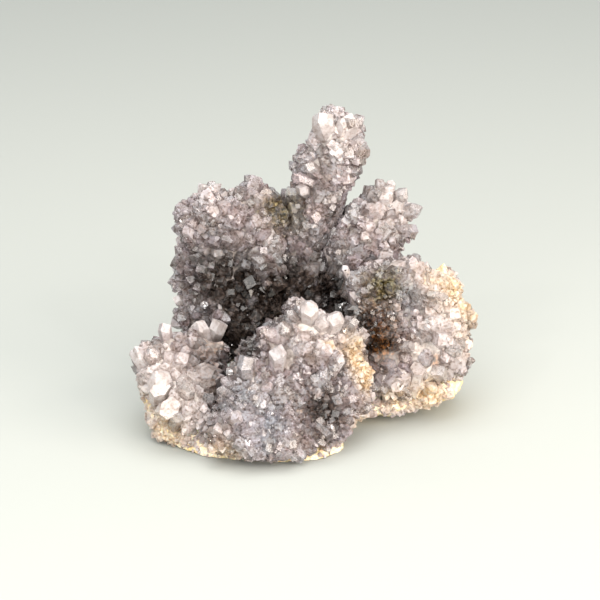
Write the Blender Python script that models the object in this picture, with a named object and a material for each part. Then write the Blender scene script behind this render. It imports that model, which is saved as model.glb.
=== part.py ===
"""Stalactite amethyst: quartz-coated stalactites and mounds on an iron-stained chalcedony rind.

Each lobe is a bed of swellings strung along its axis, smoothed into one lump and then covered with
six-sided quartz points that are fused to it. The lobes stand on a lumpy rind with a flat foot.
Lengths below are in millimetres, with +Z up and the viewer on the -Y side.
"""

import math
import random
from dataclasses import dataclass, field

import bmesh
import bpy
from mathutils import Matrix, Vector, noise
from mathutils.bvhtree import BVHTree

MM = 0.001

# The whole specimen
OVERALL_WIDTH = 60.0
NODE_GAP = 0.35

# The beds that the crystals grow from
BED_VOXEL = 0.9
BED_RIPPLE = 0.5
BED_RIPPLE_LENGTH = 6.0
BED_TRIANGLES = 80

# The rind
RIND_VOXEL = 1.0
RIND_RIPPLE = 0.8
RIND_RIPPLE_LENGTH = 5.0
RIND_TRIANGLES = 500

# Both kinds of lump
SMOOTHING_ROUNDS = 6
STRING_STEP = 0.45
RIPPLE_SEED = 5

# The quartz points: a six-sided prism under a pyramid, sunk in the bed by its root
CAP_SLOPE = math.radians(51.8)
CAP_EDGE_STEP = 0.12
APEX_SHIFT = 0.12
ROOT_DEPTH = 1.3
ROOT_TAPER = 0.84
PRISM_SHARES = (-0.14, 0.04)
LARGEST_TILT = math.radians(20)
WIDTH_TO_SPACING = 1.4
WIDTH_SPREAD = (0.78, 1.2)
SIZES_TRIED = (1.0, 0.8, 0.62, 0.48, 0.36)
SCATTER_TRIES = 9000
STEEPEST_OVERHANG = -0.55

# What the joined meshes keep
GROUND_CLEARANCE = 0.3
WELD_DISTANCES = (0.02, 0.005)
ROUND_TO = 1e-8


@dataclass
class Lobe:
    """A crystal-coated lobe. Its swellings are (x, y, z, radius), strung from foot to tip.

    Each large point is its own (x, y, z) foot, (x, y, z) axis, width and length.
    """

    name: str
    strings: list
    spacing: float
    seed: int
    large_points: list = field(default_factory=list)


LOBES = [
    Lobe(
        name="tall_stalactite",
        strings=[
            [
                (-1.0, 12.0, 13.0, 7.0),
                (-0.8, 13.5, 26.0, 6.2),
                (3.0, 14.5, 35.6, 5.2),
                (6.8, 15.0, 46.6, 4.5),
            ],
        ],
        large_points=[
            ((4.2, 13.6, 49.4), (-0.25, -0.2, 1.0), 4.2, 2.8),
            ((9.4, 14.0, 48.8), (0.35, -0.2, 1.0), 4.0, 2.8),
        ],
        spacing=4.1,
        seed=11,
    ),
    Lobe(
        name="left_stalactite",
        strings=[
            [(-13.5, 8.5, 13.0, 6.6), (-15.0, 10.0, 22.0, 6.2), (-14.2, 11.0, 29.6, 7.0)],
            [
                (-14.2, 11.0, 29.6, 7.0),
                (-6.8, 12.6, 31.8, 6.2),
                (-6.6, 10.0, 22.0, 6.2),
                (-13.5, 8.5, 13.0, 6.6),
            ],
        ],
        spacing=4.7,
        seed=23,
    ),
    Lobe(
        name="middle_stalactite",
        strings=[
            [(11.0, 12.5, 14.0, 6.2), (12.6, 13.0, 25.5, 5.2), (14.5, 13.0, 34.0, 4.2)],
            [
                (11.0, 12.5, 14.0, 6.2),
                (7.0, 12.0, 22.0, 5.6),
                (8.2, 13.0, 28.6, 4.9),
                (14.5, 13.0, 34.0, 4.2),
            ],
        ],
        large_points=[
            ((16.8, 11.8, 33.4), (1.0, -0.2, 0.25), 3.6, 4.2),
            ((16.6, 11.6, 29.6), (1.0, -0.3, -0.05), 3.8, 4.4),
        ],
        spacing=4.2,
        seed=31,
    ),
    Lobe(
        name="right_mound",
        strings=[
            [
                (13.5, -1.0, 8.0, 5.6),
                (21.4, 1.0, 8.6, 5.7),
                (24.0, 3.5, 14.0, 5.4),
                (21.2, 6.0, 20.8, 5.0),
            ],
            [(13.5, -1.0, 8.0, 5.6), (15.0, 5.0, 14.0, 6.2), (11.5, 4.0, 21.6, 4.3)],
            [(21.2, 6.0, 20.8, 5.0), (16.0, 6.5, 23.0, 4.4), (11.5, 4.0, 21.6, 4.3)],
        ],
        large_points=[
            ((18.6, -1.6, 12.6), (0.1, -1.0, 0.25), 5.6, 3.6),
            ((24.6, 0.2, 13.0), (0.35, -1.0, 0.2), 4.8, 3.6),
            ((22.0, 2.4, 20.8), (1.0, -0.5, 0.05), 3.4, 5.0),
            ((8.4, 2.6, 24.2), (-0.5, -0.3, 1.0), 3.0, 4.2),
        ],
        spacing=4.4,
        seed=43,
    ),
    Lobe(
        name="front_ridge",
        strings=[
            [
                (-4.6, -10.0, 15.0, 4.2),
                (1.2, -6.6, 18.2, 4.6),
                (7.0, -5.6, 14.6, 4.3),
                (9.4, -7.8, 7.6, 3.9),
            ],
            [
                (-12.6, -17.6, 4.4, 4.3),
                (-6.6, -19.4, 4.4, 4.4),
                (0.6, -16.2, 4.6, 4.7),
                (9.4, -7.8, 7.6, 3.9),
            ],
            [(-12.6, -17.6, 4.4, 4.3), (-8.0, -13.8, 9.0, 4.6), (-4.6, -10.0, 15.0, 4.2)],
            [(0.6, -16.2, 4.6, 4.7), (0.6, -11.4, 11.0, 5.0), (1.2, -6.6, 18.2, 4.6)],
        ],
        large_points=[
            ((1.6, -7.4, 21.0), (0.05, -0.35, 1.0), 4.6, 3.4),
            ((-4.6, -10.6, 17.4), (-0.5, -0.4, 1.0), 4.4, 3.6),
            ((-7.6, -13.8, 12.0), (-0.45, -0.3, 1.0), 3.8, 3.8),
        ],
        spacing=4.5,
        seed=59,
    ),
    Lobe(
        name="left_rim",
        strings=[
            [
                (-17.5, -13.8, 6.0, 4.0),
                (-22.0, -9.6, 8.2, 4.2),
                (-24.6, -5.4, 10.4, 3.8),
                (-20.6, 1.0, 11.0, 4.2),
            ],
            [
                (-17.5, -13.8, 6.0, 4.0),
                (-17.6, -6.0, 7.4, 4.2),
                (-16.4, 0.4, 10.0, 4.4),
                (-20.6, 1.0, 11.0, 4.2),
            ],
        ],
        large_points=[
            ((-23.6, -10.2, 10.2), (-0.15, -0.8, 0.9), 5.6, 3.4),
            ((-19.4, -13.2, 8.4), (-0.1, -0.9, 0.9), 4.6, 3.4),
            ((-17.2, -1.6, 12.4), (-0.35, -0.3, 1.0), 4.6, 5.6),
            ((-14.4, -1.8, 12.0), (0.4, -0.35, 1.0), 4.6, 5.2),
        ],
        spacing=4.4,
        seed=67,
    ),
    Lobe(
        name="hollow_crust",
        strings=[
            [
                (-9.0, -7.0, 6.0, 4.4),
                (-6.5, -1.0, 6.5, 5.2),
                (3.5, -0.5, 7.0, 5.2),
                (5.0, 1.0, 11.0, 4.4),
            ],
        ],
        spacing=5.8,
        seed=79,
    ),
]

# The rind's swellings: (x, y, z, x radius, y radius, z radius)
RIND_SWELLINGS = [
    (-10.0, -9.0, 0.0, 12.6, 11.4, 3.4),
    (-2.6, -12.4, 0.0, 11.0, 8.8, 2.6),
    (-20.0, -6.5, 3.2, 6.6, 8.6, 3.4),
    (-24.0, -5.0, 6.0, 3.4, 6.0, 3.2),
    (12.5, 2.6, 3.4, 13.0, 8.4, 3.0),
    (21.0, 2.6, 5.0, 7.8, 7.6, 2.8),
    (25.6, 8.0, 9.0, 3.2, 5.6, 8.4),
    (25.0, 9.4, 18.0, 3.0, 4.0, 7.4),
    (20.0, 12.0, 9.0, 6.4, 3.8, 9.0),
    (20.4, 12.0, 16.0, 5.0, 3.0, 7.4),
    (-2.0, 7.0, 1.0, 19.0, 11.0, 4.2),
    (9.0, 11.0, 3.0, 11.5, 7.4, 5.6),
]

# Colours are linear red, green and blue.
MATERIALS = {
    "quartz_druse": {"colour": (0.52, 0.46, 0.44), "roughness": 0.18},
    "chalcedony_rind": {"colour": (0.78, 0.62, 0.40), "roughness": 0.65},
}


def clear_scene():
    """Removes whatever the scene holds."""
    for obj in list(bpy.data.objects):
        bpy.data.objects.remove(obj, do_unlink=True)


def material(name):
    """The Principled BSDF material of that name, made once."""
    found = bpy.data.materials.get(name)
    if found:
        return found
    made = bpy.data.materials.new(name)
    made.use_nodes = True
    shader = made.node_tree.nodes["Principled BSDF"]
    shader.inputs["Base Color"].default_value = (*MATERIALS[name]["colour"], 1.0)
    shader.inputs["Roughness"].default_value = MATERIALS[name]["roughness"]
    shader.inputs["Metallic"].default_value = 0.0
    return made


def object_from(bm, name):
    """A linked object that holds the bmesh, which is freed."""
    mesh = bpy.data.meshes.new(name)
    bm.to_mesh(mesh)
    bm.free()
    obj = bpy.data.objects.new(name, mesh)
    bpy.context.scene.collection.objects.link(obj)
    return obj


def settle(obj):
    """Turns the object's modifiers into its mesh."""
    bpy.context.view_layer.update()
    graph = bpy.context.evaluated_depsgraph_get()
    mesh = bpy.data.meshes.new_from_object(obj.evaluated_get(graph))
    obj.modifiers.clear()
    obj.data = mesh


def in_fixed_order(obj):
    """Rebuilds the mesh with its corners and faces sorted by place, so that every run goes on alike."""
    corners_of = obj.data.vertices
    places = [tuple(round(value / ROUND_TO) * ROUND_TO for value in vert.co) for vert in corners_of]
    order = sorted(range(len(places)), key=places.__getitem__)
    rank = {old: new for new, old in enumerate(order)}
    faces = []
    for polygon in obj.data.polygons:
        corners = [rank[index] for index in polygon.vertices]
        first = corners.index(min(corners))
        faces.append(tuple(corners[first:] + corners[:first]))
    mesh = bpy.data.meshes.new(obj.name)
    mesh.from_pydata([places[index] for index in order], [], sorted(faces))
    obj.data = mesh


def boolean(obj, other, operation, solver="EXACT"):
    """Joins or cuts the object by another, which stays as it is."""
    modifier = obj.modifiers.new(operation.title(), "BOOLEAN")
    modifier.operation = operation
    modifier.solver = solver
    modifier.object = other
    settle(obj)


def cut_flat(obj, height, solver="EXACT"):
    """Cuts off what lies under that height, which leaves a flat foot."""
    bm = bmesh.new()
    side = 4 * OVERALL_WIDTH
    place = Matrix.Translation(Vector((0.0, 0.0, height - side / 2)) * MM)
    bmesh.ops.create_cube(bm, size=side * MM, matrix=place)
    ground = object_from(bm, "ground")
    boolean(obj, ground, "DIFFERENCE", solver)
    bpy.data.objects.remove(ground, do_unlink=True)


def keep_largest_island(obj):
    """Deletes every part of the mesh that doesn't hang together with its largest one."""
    bm = bmesh.new()
    bm.from_mesh(obj.data)
    unseen = set(bm.verts)
    islands = []
    while unseen:
        island = {unseen.pop()}
        front = list(island)
        while front:
            vert = front.pop()
            linked = {edge.other_vert(vert) for edge in vert.link_edges} & unseen
            island |= linked
            unseen -= linked
            front.extend(linked)
        islands.append(island)
    largest = max(islands, key=len)
    bmesh.ops.delete(bm, geom=[vert for vert in bm.verts if vert not in largest], context="VERTS")
    bm.to_mesh(obj.data)
    bm.free()


def weld(obj):
    """Merges corners and drops slivers too fine to matter, as far as that leaves the skin closed."""
    for distance in WELD_DISTANCES:
        bm = bmesh.new()
        bm.from_mesh(obj.data)
        bmesh.ops.remove_doubles(bm, verts=bm.verts, dist=distance * MM)
        bmesh.ops.dissolve_degenerate(bm, edges=bm.edges, dist=distance * MM)
        closed = all(piece.is_manifold for piece in [*bm.edges, *bm.verts])
        if closed:
            bm.to_mesh(obj.data)
        bm.free()
        if closed:
            return


def along(string):
    """Swellings close enough together to read as one smooth limb, between those that are given."""
    filled = [string[0]]
    for start, end in zip(string, string[1:]):
        gap = (Vector(end[:3]) - Vector(start[:3])).length
        steps = max(1, math.ceil(gap / (STRING_STEP * min(start[3], end[3]))))
        for step in range(1, steps + 1):
            share = step / steps
            filled.append(tuple(a + (b - a) * share for a, b in zip(start, end)))
    return filled


def smooth_lump(bm, name, voxel, ripple, ripple_length, triangles):
    """Melts the overlapping balls of a bmesh into one rippled skin of about that many triangles."""
    obj = object_from(bm, name)
    remesh = obj.modifiers.new("Melt", "REMESH")
    remesh.mode = "VOXEL"
    remesh.voxel_size = voxel * MM
    settle(obj)
    in_fixed_order(obj)
    bm = bmesh.new()
    bm.from_mesh(obj.data)
    all_ways = {"use_axis_x": True, "use_axis_y": True, "use_axis_z": True}
    for _ in range(SMOOTHING_ROUNDS):
        bmesh.ops.smooth_vert(bm, verts=bm.verts, factor=0.5, **all_ways)
    for vert in bm.verts:
        vert.co += noise.noise_vector(vert.co / (ripple_length * MM)) * ripple * MM
    bm.to_mesh(obj.data)
    bm.free()
    obj.data.calc_loop_triangles()
    decimate = obj.modifiers.new("Coarser", "DECIMATE")
    decimate.ratio = min(1.0, triangles / len(obj.data.loop_triangles))
    decimate.use_collapse_triangulate = True
    settle(obj)
    return obj


def bed_of(lobe):
    """The lobe's bed, with no crystals, as a coarse closed lump."""
    bm = bmesh.new()
    for string in lobe.strings:
        for x, y, z, radius in along(string):
            place = Matrix.Translation(Vector((x, y, z)) * MM)
            bmesh.ops.create_icosphere(bm, subdivisions=2, radius=radius * MM, matrix=place)
    return smooth_lump(bm, lobe.name, BED_VOXEL, BED_RIPPLE, BED_RIPPLE_LENGTH, BED_TRIANGLES)


def rind():
    """The stained chalcedony under the crystals and behind the right mound."""
    bm = bmesh.new()
    for x, y, z, *radii in RIND_SWELLINGS:
        place = Matrix.Translation(Vector((x, y, z)) * MM)
        stretch = Matrix.Diagonal((*radii, 1.0))
        bmesh.ops.create_icosphere(bm, subdivisions=3, radius=MM, matrix=place @ stretch)
    name = "chalcedony_rind"
    return smooth_lump(bm, name, RIND_VOXEL, RIND_RIPPLE, RIND_RIPPLE_LENGTH, RIND_TRIANGLES)


def swollen_copy(obj):
    """A copy of the object, grown all over by the gap that neighbouring nodes keep."""
    copy = bpy.data.objects.new(obj.name + "_swollen", obj.data.copy())
    bpy.context.scene.collection.objects.link(copy)
    for vert, normal in zip(copy.data.vertices, obj.data.vertex_normals):
        vert.co += normal.vector * NODE_GAP * MM
    return copy


def tree_of(obj):
    """A search tree of the object's surface."""
    bm = bmesh.new()
    bm.from_mesh(obj.data)
    bmesh.ops.triangulate(bm, faces=bm.faces)
    tree = BVHTree.FromBMesh(bm)
    bm.free()
    return tree


def scattered(obj, spacing, chance, taken):
    """Places on the surface, each with its normal, spaced from each other and from those taken."""
    obj.data.calc_loop_triangles()
    triangles = obj.data.loop_triangles
    weights = [item.area if item.normal.z > STEEPEST_OVERHANG else 0.0 for item in triangles]
    kept = []
    used = list(taken)
    for triangle in chance.choices(triangles, weights, k=SCATTER_TRIES):
        corners = [obj.data.vertices[index].co for index in triangle.vertices]
        a, b = sorted((chance.random(), chance.random()))
        place = corners[0] * a + corners[1] * (b - a) + corners[2] * (1 - b)
        if all((place - other).length > spacing for other in used):
            kept.append((place, triangle.normal.copy()))
            used.append(place)
    return kept


def height_of_cap(width):
    """How far a cap of that width rises over its edges."""
    return 0.5 * width * math.cos(math.radians(30)) * math.tan(CAP_SLOPE)


def quartz_point(width, cap_height, prism_height, chance):
    """One crystal as a bmesh, its axis along +Z and its root sunk below the origin."""
    bm = bmesh.new()
    bmesh.ops.create_cone(
        bm,
        cap_ends=True,
        segments=6,
        radius1=0.5 * width * ROOT_TAPER * MM,
        radius2=0.5 * width * MM,
        depth=(ROOT_DEPTH + prism_height) * MM,
        matrix=Matrix.Translation((0.0, 0.0, 0.5 * (prism_height - ROOT_DEPTH) * MM)),
    )
    top = max(bm.faces, key=lambda face: face.calc_center_median().z)
    for index, vert in enumerate(top.verts):
        vert.co.z += (CAP_EDGE_STEP if index % 2 else -CAP_EDGE_STEP) * cap_height * MM
    apex = bmesh.ops.poke(bm, faces=[top], offset=cap_height * MM)["verts"][0]
    apex.co.x += chance.uniform(-APEX_SHIFT, APEX_SHIFT) * width * MM
    apex.co.y += chance.uniform(-APEX_SHIFT, APEX_SHIFT) * width * MM
    return bm


def stand(point, foot, axis, spin):
    """Moves the crystal's bmesh so that it stands on its foot, along the axis."""
    turn = axis.to_track_quat("Z", "Y").to_matrix().to_4x4()
    point.transform(Matrix.Translation(foot) @ turn @ Matrix.Rotation(spin, 4, "Z"))


def reach_of(point):
    """A search tree of the crystal's surface, grown by the gap that neighbouring nodes keep."""
    grown = point.copy()
    grown.normal_update()
    for vert in grown.verts:
        vert.co += vert.normal * NODE_GAP * MM
    tree = BVHTree.FromBMesh(grown)
    grown.free()
    return tree


def crystals_of(bed, lobe, chance):
    """The lobe's crystals as (foot, axis, width, cap height, prism height), the large ones first."""
    surface = tree_of(bed)
    crystals = []
    for foot, axis, width, length in lobe.large_points:
        cap = min(height_of_cap(width), length)
        place = surface.find_nearest(Vector(foot) * MM)[0]
        crystals.append((place, Vector(axis), width, cap, length - cap))
    large_feet = [foot for foot, *_ in crystals]
    for foot, normal in scattered(bed, lobe.spacing * MM, chance, large_feet):
        width = lobe.spacing * WIDTH_TO_SPACING * chance.uniform(*WIDTH_SPREAD)
        lean = Vector([chance.uniform(-1, 1) for _ in range(3)]) * math.sin(LARGEST_TILT)
        prism = width * chance.uniform(*PRISM_SHARES)
        crystals.append((foot, normal + lean, width, height_of_cap(width), prism))
    return crystals


def grow_crystals(bed, lobe, neighbours):
    """Covers the bed in quartz points that stay clear of the neighbouring lobes.

    A point that would come too near a neighbour is tried again at smaller sizes. The exact solver
    loses whole lobes where many points cross each other, so the manifold solver joins the points.
    """
    chance = random.Random(lobe.seed)
    for foot, axis, width, cap, prism in crystals_of(bed, lobe, chance):
        spin = chance.uniform(0, math.tau)
        for size in SIZES_TRIED:
            point = quartz_point(width * size, cap * size, prism * size, chance)
            stand(point, foot, axis, spin)
            reach = reach_of(point)
            if not any(reach.overlap(tree) for tree in neighbours):
                crystal = object_from(point, "point")
                boolean(bed, crystal, "UNION", "MANIFOLD")
                bpy.data.objects.remove(crystal, do_unlink=True)
                weld(bed)
                break
            point.free()


def finish(obj, slot):
    """Gives the node its material and keeps its faces flat, as crystal faces are."""
    keep_largest_island(obj)
    obj.data.materials.clear()
    obj.data.materials.append(material(slot))
    obj.data.shade_flat()


def centre(nodes):
    """Moves every mesh so that the whole stands on the origin, centred over it."""
    places = [vert.co for node in nodes for vert in node.data.vertices]
    low = Vector([min(place[axis] for place in places) for axis in range(3)])
    high = Vector([max(place[axis] for place in places) for axis in range(3)])
    shift = Vector((-(low.x + high.x) / 2, -(low.y + high.y) / 2, -low.z))
    for node in nodes:
        node.data.transform(Matrix.Translation(shift))


def main():
    """Builds the rind, then the beds cut clear of each other, then their crystals."""
    clear_scene()
    noise.seed_set(RIPPLE_SEED)
    base = rind()
    beds = [bed_of(lobe) for lobe in LOBES]
    rind_swollen, *beds_swollen = [swollen_copy(obj) for obj in [base, *beds]]
    for index, bed in enumerate(beds):
        for other in beds_swollen[:index]:
            boolean(bed, other, "DIFFERENCE")
        keep_largest_island(bed)
    trees = [tree_of(bed) for bed in beds]
    for index, (lobe, bed) in enumerate(zip(LOBES, beds)):
        grow_crystals(bed, lobe, trees[:index] + trees[index + 1 :])
        trees[index] = tree_of(bed)
        boolean(bed, rind_swollen, "DIFFERENCE", "MANIFOLD")
        cut_flat(bed, GROUND_CLEARANCE, "MANIFOLD")
        weld(bed)
    cut_flat(base, 0.0)
    for other in [rind_swollen, *beds_swollen]:
        bpy.data.objects.remove(other, do_unlink=True)
    finish(base, "chalcedony_rind")
    for bed in beds:
        finish(bed, "quartz_druse")
    centre([base, *beds])


main()
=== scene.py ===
"""Stalactite amethyst, dressed for a plain studio.

Each lobe of the frame gives way to two pieces: a stained bed, and over it a druse of six-sided quartz
points that are fused into one crust. The rind under them is made knobbly, with small points on its edge.
Lengths are in millimetres unless a comment says otherwise, and become metres where a mesh is made.
"""

import logging
import math
import random
from contextlib import contextmanager
from dataclasses import dataclass, field, replace
from enum import Enum
from typing import Any, Iterable, Iterator, Sequence

import bmesh
import bpy
import numpy as np
from bmesh.types import BMEdge, BMesh, BMVert
from bpy.types import ID, Material, Mesh, Node, NodeSocket, NodeTree, Object
from mathutils import Matrix, Vector, noise
from mathutils.bvhtree import BVHTree

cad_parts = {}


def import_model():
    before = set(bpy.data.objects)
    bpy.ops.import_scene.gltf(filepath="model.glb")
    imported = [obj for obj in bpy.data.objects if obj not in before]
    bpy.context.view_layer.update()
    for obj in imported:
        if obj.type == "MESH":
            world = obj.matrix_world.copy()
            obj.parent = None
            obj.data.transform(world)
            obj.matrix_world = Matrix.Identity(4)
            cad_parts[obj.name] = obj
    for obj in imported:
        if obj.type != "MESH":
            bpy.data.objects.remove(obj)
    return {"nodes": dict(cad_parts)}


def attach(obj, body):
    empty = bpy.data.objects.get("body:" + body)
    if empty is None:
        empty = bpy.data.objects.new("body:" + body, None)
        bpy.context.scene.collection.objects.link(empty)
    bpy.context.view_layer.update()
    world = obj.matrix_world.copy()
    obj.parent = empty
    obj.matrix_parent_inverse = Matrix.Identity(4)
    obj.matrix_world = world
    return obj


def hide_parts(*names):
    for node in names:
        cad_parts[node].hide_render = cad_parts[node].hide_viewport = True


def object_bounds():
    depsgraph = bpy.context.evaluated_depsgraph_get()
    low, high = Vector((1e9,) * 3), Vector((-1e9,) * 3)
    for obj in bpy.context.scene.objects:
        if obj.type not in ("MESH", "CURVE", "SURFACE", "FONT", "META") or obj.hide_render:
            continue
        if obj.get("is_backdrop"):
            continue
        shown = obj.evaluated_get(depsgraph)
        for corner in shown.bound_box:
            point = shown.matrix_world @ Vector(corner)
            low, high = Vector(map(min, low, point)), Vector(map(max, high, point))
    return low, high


Triple = tuple[float, float, float]
log = logging.getLogger("stalactite_amethyst")

# A millimetre in metres
MM = 0.001

# How near to each other two corners count as one, in the mesh's own units
WELD = 1e-6

# The seed of the noise behind the quartz's zones of colour and the rind's knobs
NOISE_SEED = 7


def linear(colour: str) -> tuple[float, float, float, float]:
    """Turns an sRGB colour into the linear one that shaders and lights take.

    Args:
        colour: Six hex digits after a hash.

    Returns:
        Linear red, green, blue and an alpha of 1.
    """
    shares = [int(colour[start : start + 2], 16) / 255 for start in (1, 3, 5)]
    red, green, blue = [s / 12.92 if s <= 0.04045 else ((s + 0.055) / 1.055) ** 2.4 for s in shares]
    return red, green, blue, 1.0


def per(size: float) -> float:
    """The scale that makes one cell of a texture that many millimetres wide."""
    return 1.0 / (size * MM)


def add_node(
    tree: NodeTree,
    kind: str,
    settings: dict[Any, Any] | None = None,
    links: dict[Any, NodeSocket] | None = None,
) -> Node:
    """Adds a node with its settings and links.

    Args:
        tree: The node tree that takes the node.
        kind: The node's type, such as ShaderNodeTexNoise.
        settings: Values by input name, input number or property name.
        links: Output sockets by the name or number of the input that each one feeds.

    Returns:
        The new node.
    """
    node = tree.nodes.new(kind)
    for name, value in (settings or {}).items():
        if isinstance(name, str) and hasattr(node, name):
            setattr(node, name, value)
    for name, value in (settings or {}).items():
        if not (isinstance(name, str) and hasattr(node, name)):
            node.inputs[name].default_value = value
    for name, socket in (links or {}).items():
        tree.links.new(socket, node.inputs[name])
    return node


# The colour mixer's sockets: its share, its two colours and its result
MIX_SHARE, MIX_LOW, MIX_HIGH, MIX_RESULT = 0, 6, 7, 2


def mixed(tree: NodeTree, low: Any, high: Any, share: Any, blend: str = "MIX") -> NodeSocket:
    """Mixes two colours.

    Args:
        tree: The node tree that takes the node.
        low: The colour or socket at a share of 0.
        high: The colour or socket at a share of 1.
        share: The share as a number or a socket.
        blend: The way that the second colour meets the first.

    Returns:
        The mixed colour's socket.
    """
    settings: dict[Any, Any] = {"data_type": "RGBA", "blend_type": blend}
    links: dict[Any, NodeSocket] = {}
    for place, value in ((MIX_SHARE, share), (MIX_LOW, low), (MIX_HIGH, high)):
        if isinstance(value, NodeSocket):
            links[place] = value
        else:
            settings[place] = value
    return add_node(tree, "ShaderNodeMix", settings, links).outputs[MIX_RESULT]


def ramped(tree: NodeTree, factor: NodeSocket, stops: Sequence[tuple[float, Any]]) -> NodeSocket:
    """Turns a number into a colour by a ramp.

    Args:
        tree: The node tree that takes the node.
        factor: The number's socket.
        stops: Pairs of a place along the ramp and an sRGB hex colour or a grey value.

    Returns:
        The ramp's colour socket.
    """
    node = add_node(tree, "ShaderNodeValToRGB", links={"Fac": factor})
    elements = node.color_ramp.elements
    while len(elements) < len(stops):
        elements.new(1.0)
    for element, (place, value) in zip(elements, stops):
        element.position = place
        element.color = linear(value) if isinstance(value, str) else (value, value, value, 1.0)
    return node.outputs["Color"]


def numbers(tree: NodeTree, operation: str, first: Any, second: Any) -> NodeSocket:
    """Works out one number from two and clamps it between 0 and 1.

    Args:
        tree: The node tree that takes the node.
        operation: The sum to do, such as MULTIPLY.
        first: The first number as a value or a socket.
        second: The second number as a value or a socket.

    Returns:
        The result's socket.
    """
    settings: dict[Any, Any] = {"operation": operation, "use_clamp": True}
    links: dict[Any, NodeSocket] = {}
    for place, value in enumerate((first, second)):
        if isinstance(value, NodeSocket):
            links[place] = value
        else:
            settings[place] = value
    return add_node(tree, "ShaderNodeMath", settings, links).outputs[0]


class Trait(Enum):
    """What a mesh says of itself from place to place, as a named attribute.

    Tint picks the quartz's body colour, rise is 0 at a crystal's root and 1 at its tip, and grain is how
    rough and flawed it is. The others are stains, the smoky one partly painted shade in the hollow.
    """

    TINT = "tint"
    RISE = "rise"
    GRAIN = "grain"
    MILK = "milk"
    COOL = "cool"
    OLIVE = "olive"
    OCHRE = "ochre"
    IRON = "iron"
    SMOKE = "smoke"


# The traits that each crystal brings along, and those that depend on the place alone
CARRIED = (Trait.TINT, Trait.RISE, Trait.GRAIN)
STAINS = (Trait.MILK, Trait.COOL, Trait.OLIVE, Trait.OCHRE, Trait.IRON, Trait.SMOKE)


def principled(name: str) -> tuple[Material, NodeTree, Node]:
    """Makes a plain material.

    Args:
        name: The material's name.

    Returns:
        The material, its node tree and its main shader.
    """
    made = bpy.data.materials.new(name)
    made.use_nodes = True
    return made, made.node_tree, made.node_tree.nodes["Principled BSDF"]


def trait(tree: NodeTree, name: Trait) -> NodeSocket:
    """The socket that reads one of the mesh's traits."""
    return add_node(tree, "ShaderNodeAttribute", {"attribute_name": name.value}).outputs["Fac"]


def object_place(tree: NodeTree) -> NodeSocket:
    """The socket that gives a point's place on the piece, in metres."""
    return add_node(tree, "ShaderNodeTexCoord").outputs["Object"]


def cloud(tree: NodeTree, size: float, detail: float = 3.0, roughness: float = 0.55) -> NodeSocket:
    """A soft noise whose patches are about that many millimetres wide."""
    settings = {"Scale": per(size), "Detail": detail, "Roughness": roughness}
    return add_node(tree, "ShaderNodeTexNoise", settings, {"Vector": object_place(tree)}).outputs["Fac"]


@dataclass(frozen=True)
class Grains:
    """Fine grains on a dull surface, a little raised and darker between them."""

    size: float
    shade: float
    strength: float
    height: float
    shade_from: float = 0.9

    def on(self, tree: NodeTree, shader: Node, colour: NodeSocket) -> None:
        """Feeds a shader with a colour and the grains in it.

        Args:
            tree: The node tree that takes the nodes.
            shader: The shader.
            colour: The colour without the grains.
        """
        place = {"Vector": object_place(tree)}
        grains = add_node(tree, "ShaderNodeTexVoronoi", {"Scale": per(self.size)}, place)
        far = grains.outputs["Distance"]
        shade = ramped(tree, far, [(0.0, 1.0), (self.shade_from, self.shade)])
        tree.links.new(mixed(tree, colour, shade, 1.0, "MULTIPLY"), shader.inputs["Base Color"])
        raised = {"Strength": self.strength, "Distance": self.height * MM, "invert": True}
        bump = add_node(tree, "ShaderNodeBump", raised, {"Height": far})
        tree.links.new(bump.outputs["Normal"], shader.inputs["Normal"])


Stops = tuple[float, ...]
Shares = tuple[tuple[float, float], ...]
Flecks = tuple[str, str, str]


@dataclass(frozen=True)
class StainColours:
    """The mineral stains of the quartz points and their bed, the smoky one partly painted shade: each one's
    dark fleck, body and light fleck.
    """

    milk: Flecks = ("#E2DBDA", "#EBE5E5", "#F0ECED")
    cool: Flecks = ("#ABB5C3", "#C1CAD5", "#DCE2E9")
    olive: Flecks = ("#3F3C28", "#80784C", "#B3AA80")
    ochre: Flecks = ("#DFBE92", "#F1DEBC", "#F9EEDB")
    iron: Flecks = ("#2A2119", "#604A36", "#A06C3C")
    # Partly a smoky stain and partly painted shade, for the hollow and the walls around it
    smoke: Flecks = ("#2A2421", "#433A36", "#6E625B")
    fleck_size: float = 0.6
    fleck_stops: Stops = (0.4, 0.5, 0.61)

    def over(self, tree: NodeTree, colour: NodeSocket, blotch: NodeSocket) -> NodeSocket:
        """Lays every stain over a colour.

        Args:
            tree: The node tree that takes the nodes.
            colour: The unstained colour.
            blotch: How unevenly the stains take, from 0 to 1.

        Returns:
            The stained colour.
        """
        flecks = cloud(tree, self.fleck_size, detail=2.0)
        stains = (self.milk, self.cool, self.olive, self.ochre, self.iron, self.smoke)
        for kind, shades in zip(STAINS, stains):
            share = numbers(tree, "MULTIPLY", trait(tree, kind), blotch)
            stained = ramped(tree, flecks, list(zip(self.fleck_stops, shades)))
            colour = mixed(tree, colour, stained, share)
        return colour


# How bumpy the druse's points are and how many flaws they hold, against the large points' few
DRUSE_GRAIN = 0.16
LARGE_GRAIN = 0.05


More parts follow.
